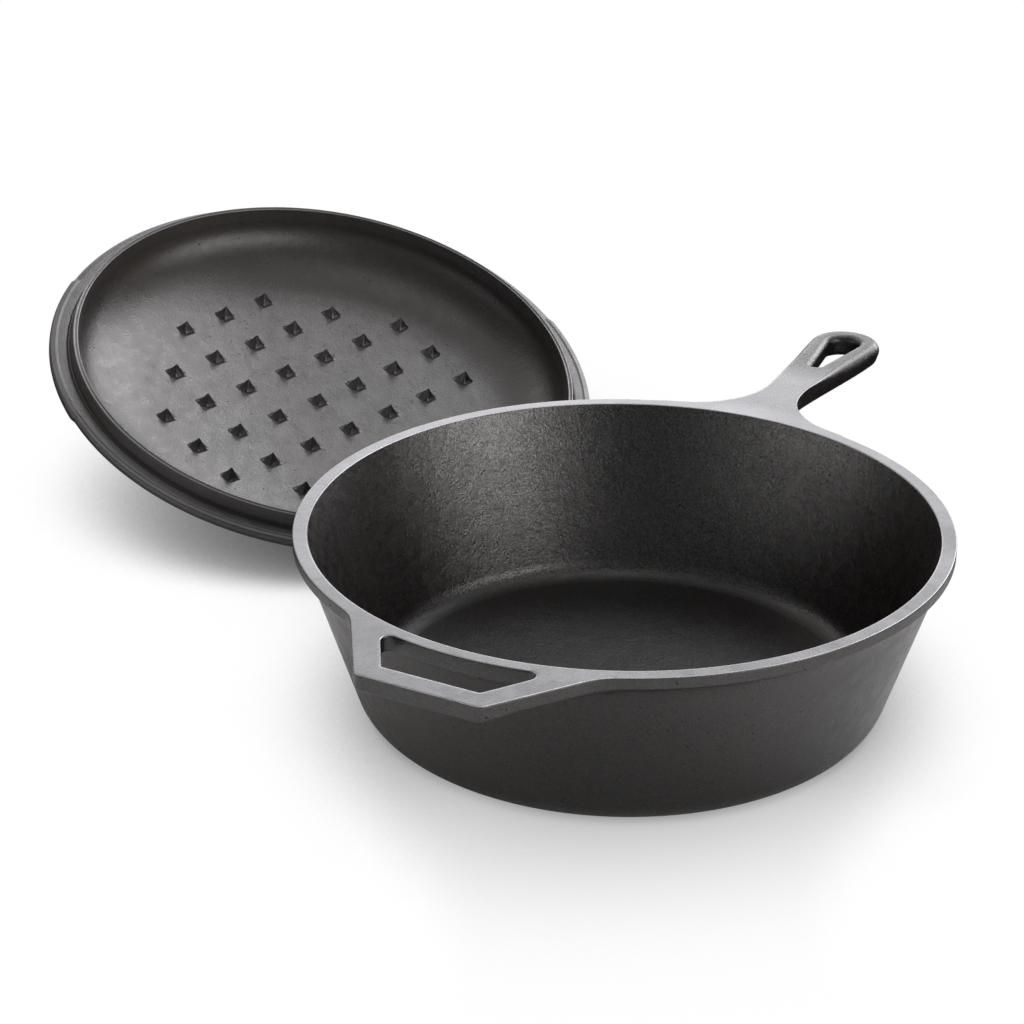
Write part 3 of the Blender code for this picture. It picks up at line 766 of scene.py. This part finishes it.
def cast_iron(name, dark, worn, shine, coarse, glint=0.45):
    """Seasoned sand-cast iron.  dark and worn are the colours of thick and
    thin seasoning, shine the least roughness, coarse the depth of the grain
    and glint its sparkle.  Two attributes steer it: "ground" marks ground
    faces and also carries painted highlight and shade, and "gloss" marks
    thick seasoning and also a painted sheen."""
    mat = bpy.data.materials.new(name)
    g = Nodes(mat)
    place = g.add("ShaderNodeTexCoord", {}).outputs["Object"]
    ground = g.attribute("ground")
    cast = g.minus(1.0, ground)
    # thick carries the "gloss" attribute: thick seasoning on the pan, a painted sheen on the lid
    thick = g.attribute("gloss")
    # sand grain in two sizes, lumps, slow waviness and sparse pinholes
    fine = g.noise(place, scale=1500.0, detail=2.0, rough=0.6)
    grain = g.noise(place, scale=640.0, detail=3.0, rough=0.6)
    lumps = g.noise(place, scale=150.0, detail=3.0, rough=0.55)
    slow = g.noise(place, scale=38.0, detail=3.0, rough=0.55)
    wide = g.noise(place, scale=11.0, detail=2.0, rough=0.5)
    patches = g.noise(place, scale=31.0, detail=1.0, rough=0.5)
    pit_distance = g.add("ShaderNodeTexVoronoi", {"Vector": place, "Scale": 240.0,
                                                  "Randomness": 1.0},
                         feature='F1').outputs["Distance"]
    pit = g.ramp(pit_distance, span=(0.065, 0.12), to=(1.0, 0.0))
    pit = g.times(pit, g.ramp(patches, span=(0.44, 0.58)))
    pit = g.times(pit, cast)
    # relief, much weaker on ground faces
    relief = g.plus(g.times(fine, 0.75), g.times(grain, 0.45))
    relief = g.times(relief, g.ramp(slow, span=(0.3, 0.7), to=(0.85, 1.1)))
    relief = g.minus(relief, g.times(pit, 0.35))
    normal = g.bump(height=relief, distance=0.00050 * coarse,
                    strength=g.plus(g.times(cast, 0.55), 0.05))
    normal = g.bump(height=lumps, distance=0.0012, normal=normal,
                    strength=g.plus(g.times(cast, 0.10), 0.02))
    normal = g.bump(height=slow, distance=0.0012, normal=normal, strength=0.09)
    # near black, browner where the seasoning is thin
    cast_colour = g.mix(g.ramp(wide, span=(0.35, 0.68)), dark, worn)
    bright = tuple(c * 1.7 for c in worn[:3]) + (1,)
    cast_colour = g.mix(g.times(g.ramp(grain, span=(0.45, 0.75)), 0.5), cast_colour, bright)
    cast_colour = g.mix(g.times(pit, 0.85), cast_colour, PIT_COLOUR)
    ground_colour = g.mix(g.ramp(slow, span=(0.3, 0.7)), GROUND_DARK, GROUND_LIGHT)
    ground_colour = g.mix(g.times(g.ramp(grain, span=(0.55, 0.75)), 0.25),
                          ground_colour, GROUND_GRAIN)
    colour = g.mix(ground, cast_colour, ground_colour)
    # roughness: lumps and grain, then the shares of ground, gloss and pinholes
    rough = g.plus(g.ramp(lumps, span=(0.3, 0.7), to=(shine, shine + 0.09)),
                   g.times(grain, 0.08))
    for source, share in ((ground, -0.05), (thick, -0.085), (pit, 0.3)):
        rough = g.plus(rough, g.times(source, share))
    # every grain catches the light differently
    spark = g.noise(place, scale=1250.0, detail=2.0, rough=0.65)
    spark = g.ramp(spark, span=(0.36, 0.64), to=(-glint, 1.15 * glint))
    spark = g.times(spark, g.ramp(thick, span=(0.45, 0.95), to=(0.35, 1.0)))
    spark = g.plus(spark, 1.0)
    spark = g.times(spark, g.minus(1.0, g.times(pit, 0.85)))
    level = g.plus(g.times(thick, 0.62), 0.62)
    shader = g.add("ShaderNodeBsdfPrincipled", {
        "Base Color": colour, "Roughness": rough, "Metallic": g.times(ground, 0.9),
        "Normal": normal, "Specular IOR Level": g.times(level, spark)})
    g.add("ShaderNodeOutputMaterial", {"Surface": shader.outputs[0]})
    return mat


def paint(ob, name, values):
    attribute = ob.data.attributes.new(name, 'FLOAT', 'POINT')
    attribute.data.foreach_set("value", np.asarray(values, np.float32))


def mesh_arrays(ob):
    """Vertex places in millimetres, and their normals."""
    arrays = []
    for key in ("co", "normal"):
        values = np.empty(len(ob.data.vertices) * 3, np.float32)
        ob.data.vertices.foreach_get(key, values)
        arrays.append(values.reshape(-1, 3))
    return arrays[0] / MM, arrays[1]


def paint_pan(pan):
    places, normals = mesh_arrays(pan)
    x, y, z = places.T
    up = normals[:, 2]
    # ground: every upward face at rim height, fading along the handle
    face = step(z, TOP - 0.9, TOP - 0.25) * step(up, 0.35, 0.9)
    face = face * (1.0 - 0.16 * step(x, 130.0, 142.0) - 0.72 * step(x, 172.0, 206.0))
    handle_end = (0.12 * step(x, 175.0, 205.0) * step(up, 0.55, 0.97)
                  * step(z, TOP - 4.0, TOP - 0.8))
    # painted shade: the ground faces are made duller near the camera, most so on its right
    near = step(-(x * AHEAD[0] + y * AHEAD[1]), 60.0, 120.0)
    right = step(x * AHEAD[1] - y * AHEAD[0], -50.0, 30.0)
    paint(pan, "ground", np.maximum(face, handle_end) * (1.0 - near * (0.07 + 0.15 * right)))
    # seasoning is thick and glossy on the wall inside, dull on the cooking floor
    reach = R_IN - (TOP - z) * math.tan(CAVITY_DRAFT) + 0.4
    inside = step(reach - np.hypot(x, y), -0.5, 0.0) * step(z, FLOOR_Z - 0.6, FLOOR_Z - 0.3)
    wall = step(z, FLOOR_Z + 0.6, FLOOR_Z + 4.0)
    paint(pan, "gloss", inside * (wall - 0.25 * (1.0 - wall)) + (1.0 - inside) * 0.5)


def paint_lid(lid, right, up):
    """right and up are the camera's directions in the lid's own frame."""
    places, normals = mesh_arrays(lid)
    radius = np.hypot(places[:, 0], places[:, 1])
    down = -normals[:, 2]
    across, raised = places @ right, places @ up
    brim = step(radius, 123.2, 124.4) * step(down, 0.3, 0.9) * 0.27
    # its outer edge is ground a little all round, plus a painted highlight on the side raised
    # towards the camera's up
    worn = 0.22 + 0.50 * step(raised, 20.0, 70.0)
    brim = np.maximum(brim, worn * step(radius, 127.6, 129.4) * step(down, -0.4, 0.3))
    flange_tip = step(-places[:, 2], 6.2, 6.5) * 0.45
    paint(lid, "ground", np.maximum(brim, flange_tip))
    # painted sheen: the cove is made glossiest on its side low and to the left as the camera
    # sees it
    inner = step(down, 0.02, 0.2) * step(121.0 - radius, 0.0, 2.0)
    low_left = step(-(0.95 * across + 0.42 * raised), 16.0, 66.0)
    paint(lid, "gloss", 0.50 * inner * low_left)


# ---- build ------------------------------------------------------------------
def make_pan():
    pan = build_pan()
    paint_pan(pan)
    pan.data.materials.append(cast_iron(
        "seasoned_iron_pan", dark=(0.0042, 0.0037, 0.0035, 1),
        worn=(0.0082, 0.0060, 0.0052, 1), shine=0.27, coarse=0.85, glint=0.38))
    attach(pan, "skillet")
    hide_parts("skillet")


def make_lid():
    lid = build_lid()
    loop = build_loop()
    points = build_points()
    placement = lid_placement()
    to_lid = np.array(placement.to_3x3()).T
    right, up = to_lid @ np.array(CAM_RIGHT), to_lid @ np.array(CAM_UP)
    paint_lid(lid, right, up)
    paint(loop, "ground", np.zeros(len(loop.data.vertices)))
    # painted light: the flank of every point that faces the camera's left is made brighter than
    # its right one
    leftward = -(mesh_arrays(points)[1] @ right)
    paint(points, "ground", 0.30 * step(leftward, 0.05, 0.40))
    iron = cast_iron("seasoned_iron_lid", dark=(0.029, 0.0272, 0.0268, 1),
                     worn=(0.038, 0.0330, 0.0302, 1), shine=0.27, coarse=0.55, glint=0.07)
    # painted shade: the points get a darker copy of the lid's iron
    shaded_point_iron = cast_iron("seasoned_iron_points", dark=(0.010, 0.0092, 0.009, 1),
                          worn=(0.014, 0.012, 0.011, 1), shine=0.20, coarse=0.3)
    for ob, material in ((lid, iron), (loop, iron), (points, shaded_point_iron)):
        ob.data.materials.append(material)
        ob.data.transform(placement)
        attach(ob, "lid")
    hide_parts("lid")


# ---- stage ------------------------------------------------------------------
FLOOR_FRONT, FLOOR_BACK = 0.95, 0.03    # how pale the floor is to the iron
AMBIENT = 0.17
# angle round the pan from the camera's side, positive to its right, with its
# half width and softness; height with its half width and softness, all in
# degrees; then the level, and the tone
BOXES = (
    (143, 13, 9, 26, 26, 7, 4.8, "cool"),     # tall box behind on the right
    (164, 13, 8, 46, 8, 6, 5.0, "cool"),      # bar high behind
    (-140, 22, 12, 45, 14, 10, 1.7, "warm"),  # smaller one behind on the left
    (181, 15, 9, 8, 18, 8, 2.3, "cool"),      # glow of the wall behind
    (52, 23, 13, 14, 16, 4, 2.8, "warm"),     # long low box in front on the right
    (52, 20, 9, 26, 5, 3, 1.0, "warm"),       # bright strip along its top
    (130, 80, 25, 70, 20, 12, 0.55, "warm"),  # weak fill overhead
    (0, 200, 5, 90, 11, 5, 1.7, "warm"),      # small lamp straight above
    (-74, 30, 14, 6, 12, 6, 1.15, "warm"),    # weak low fill on the left
)
TONES = {"cool": (1.0, 0.985, 1.012, 1), "warm": (1.0, 0.975, 0.955, 1)}
WHITE = (1, 1, 1, 1)


def floor_material():
    mat = bpy.data.materials.new("pale_floor")
    g = Nodes(mat)
    place = g.add("ShaderNodeNewGeometry", {}).outputs["Position"]
    # the floor is pale where the camera sees it, and darker behind the pan to
    # other rays, so that only its front is mirrored in the iron
    pale = g.ramp(g.dot(place, AHEAD), span=(0.02, 0.19), to=(FLOOR_FRONT, FLOOR_BACK))
    grey = g.add("ShaderNodeCombineColor", {0: pale, 1: pale, 2: pale}).outputs[0]
    mirrored_floor = g.add("ShaderNodeBsdfDiffuse", {"Color": grey}).outputs[0]
    # soft contact shade, lighter where the floor runs straight towards the camera
    open_air = g.add("ShaderNodeAmbientOcclusion", {"Distance": 0.20}, samples=12).outputs["AO"]
    off_middle = g.math('ABSOLUTE', g.dot(place, ACROSS))
    middle = g.ramp(off_middle, span=(0.055, 0.115), to=(1.0, 0.0))
    light_shade = g.plus(g.times(open_air, 0.82), 0.287)
    deep_shade = g.math('MAXIMUM', g.plus(g.times(open_air, 0.95), 0.02),
                        g.plus(g.times(open_air, 2.1), -0.36))
    shade = g.math('ADD', g.times(light_shade, middle),
                   g.times(deep_shade, g.minus(1.0, middle)), clamp=True)
    seen_floor = g.add("ShaderNodeEmission", {"Color": WHITE, "Strength": shade}).outputs[0]
    mix = g.add("ShaderNodeMixShader", {0: g.camera_ray(), 1: mirrored_floor, 2: seen_floor})
    g.add("ShaderNodeOutputMaterial", {"Surface": mix.outputs[0]})
    return mat


def make_floor():
    bpy.ops.mesh.primitive_plane_add(size=12.0, location=(0, 0, -0.0002))
    floor = bpy.context.object
    floor.name = "floor"
    floor.data.materials.append(floor_material())


def make_camera():
    data = bpy.data.cameras.new("camera")
    data.sensor_width = 36.0
    data.lens = CAM_LENS
    data.clip_start = 0.05
    camera = bpy.data.objects.new("camera", data)
    bpy.context.scene.collection.objects.link(camera)
    rows = [list(row) for row in zip(CAM_RIGHT, CAM_UP, CAM_BACK, CAM_PLACE)]
    camera.matrix_world = Matrix(rows + [[0, 0, 0, 1]])
    bpy.context.scene.camera = camera


def make_studio():
    """Soft boxes as a smooth field of light over the sky."""
    world = bpy.data.worlds.new("studio")
    bpy.context.scene.world = world
    g = Nodes(world)
    way = g.add("ShaderNodeTexCoord", {}).outputs["Generated"]
    way = g.add("ShaderNodeVectorMath", {0: way}, operation='NORMALIZE').outputs["Vector"]
    side_of = g.math('ARCTAN2', g.dot(way, ACROSS), g.dot(way, TOWARDS))
    height_of = g.math('ARCSINE', g.dot(way, (0.0, 0.0, 1.0)))

    def falloff(offset, half, soft, level):
        span = (math.radians(half - soft), math.radians(half + soft))
        return g.ramp(g.math('ABSOLUTE', offset), span, to=(level, 0.0))

    levels = {"cool": g.plus(0.0, 0.0), "warm": g.plus(0.0, AMBIENT)}
    for side, wide, wide_soft, height, tall, tall_soft, power, tone in BOXES:
        turn = g.add("ShaderNodeMath", {0: g.minus(side_of, math.radians(side)),
                                        1: math.pi, 2: -math.pi}, operation='WRAP').outputs[0]
        rise = g.minus(height_of, math.radians(height))
        box = g.times(falloff(turn, wide, wide_soft, 1.0), falloff(rise, tall, tall_soft, power))
        levels[tone] = g.plus(levels[tone], box)
    # the camera itself sees a plain white backdrop
    seen = g.camera_ray()
    unseen = g.minus(1.0, seen)
    sky = g.add("ShaderNodeBackground", {"Color": WHITE, "Strength": seen}).outputs[0]
    for tone, level in levels.items():
        light = g.add("ShaderNodeBackground", {"Color": TONES[tone],
                                               "Strength": g.times(level, unseen)})
        sky = g.add("ShaderNodeAddShader", {0: sky, 1: light.outputs[0]}).outputs[0]
    g.add("ShaderNodeOutputWorld", {"Surface": sky})


make_pan()
make_lid()
make_floor()
make_camera()
make_studio()
bpy.context.scene.view_settings.view_transform = 'Standard'
